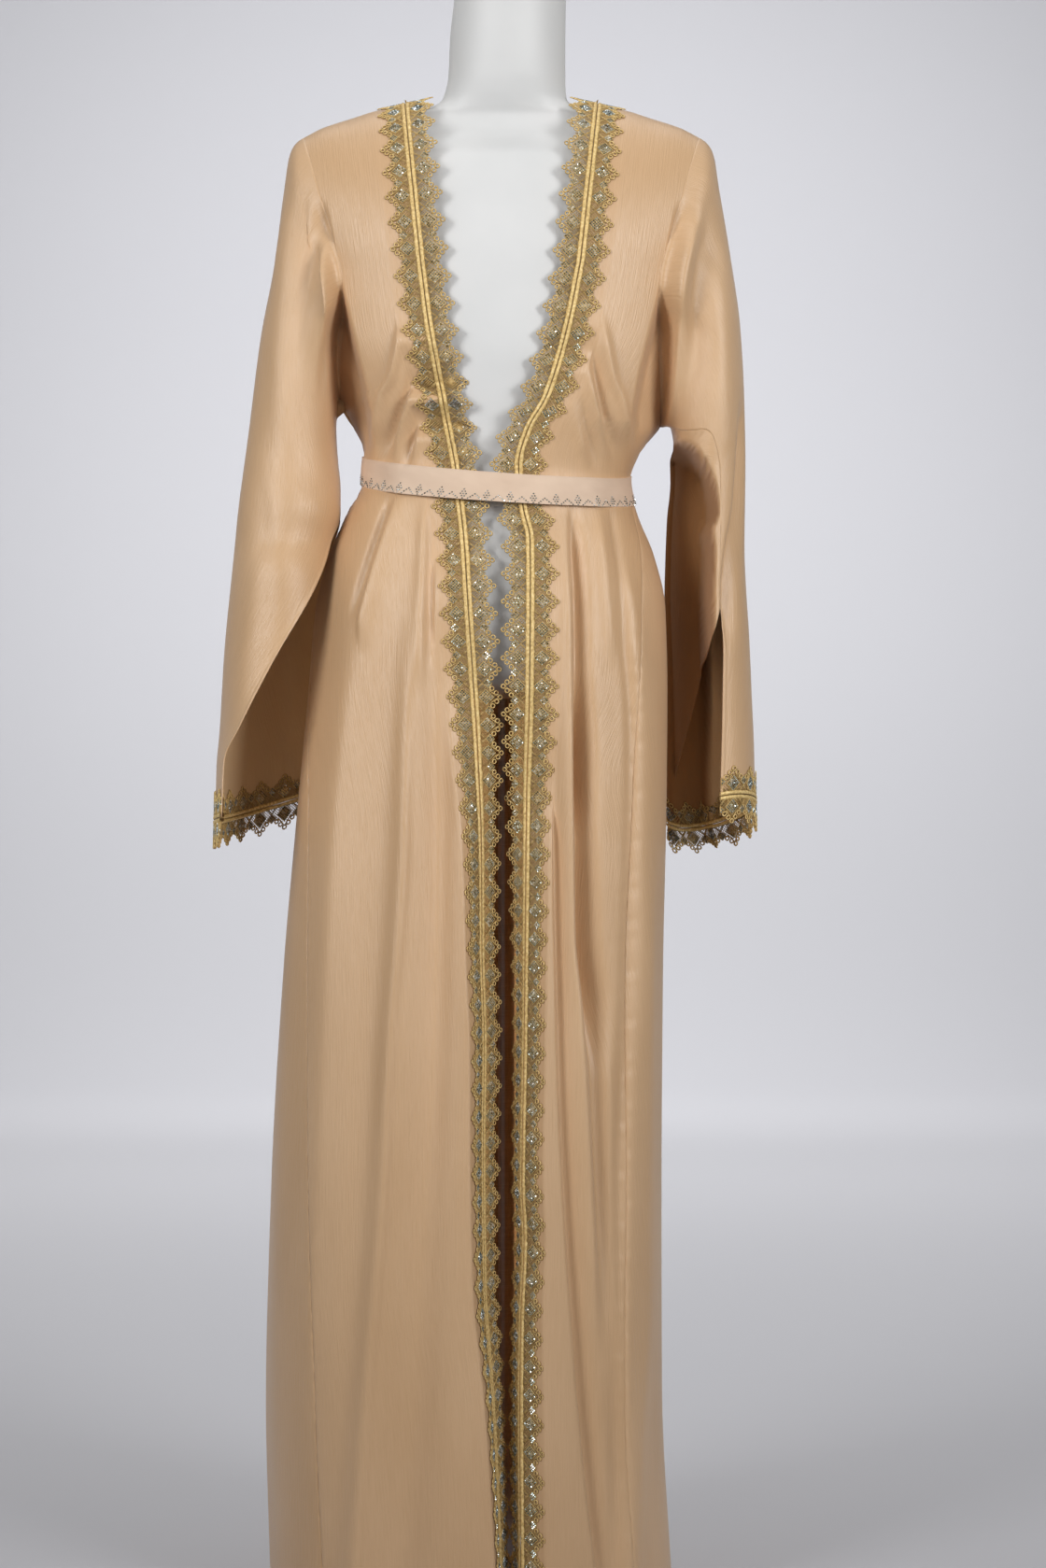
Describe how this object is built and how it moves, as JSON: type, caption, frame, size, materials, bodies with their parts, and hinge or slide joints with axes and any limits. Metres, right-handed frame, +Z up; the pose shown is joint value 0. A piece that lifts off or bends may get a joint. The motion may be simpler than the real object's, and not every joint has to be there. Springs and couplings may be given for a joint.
{
  "type": "abaya cloak on a dress form",
  "caption": "Open-fronted long cloak with loose slit sleeves, scalloped lace along its edges and a flat cloth belt, worn by a limbless dress form on a pole and a round base.",
  "frame": {"origin": "centre of the underside of the stand's round base, on the floor", "axes": "+Z up along the stand's pole and the form's axis, -Y out of the cloak's front, +X towards the cloak's left side"},
  "size_m": [0.5267, 0.3277, 1.5503],
  "materials": {
    "satin_crepe": "soft satin crepe with fine upright crinkles, pale champagne beige",
    "gold_lace": "matte gold thread lace with small grey-green stones",
    "belt_cloth": "matte peach cloth with a row of small grey stones",
    "form_white": "matte white",
    "stand_metal": "brushed"
  },
  "bodies": {
    "root": {"front_right": "satin_crepe", "front_left": "satin_crepe", "back": "satin_crepe", "sleeve_right": "satin_crepe", "sleeve_left": "satin_crepe", "lace_front_right": "gold_lace", "lace_front_left": "gold_lace", "lace_back_neck": "gold_lace", "lace_cuff_right": "gold_lace", "lace_cuff_left": "gold_lace", "belt": "belt_cloth", "form_torso": "form_white", "form_neck_cap": "stand_metal", "stand_pole": "stand_metal", "stand_base": "stand_metal"}
  },
  "joints": []
}
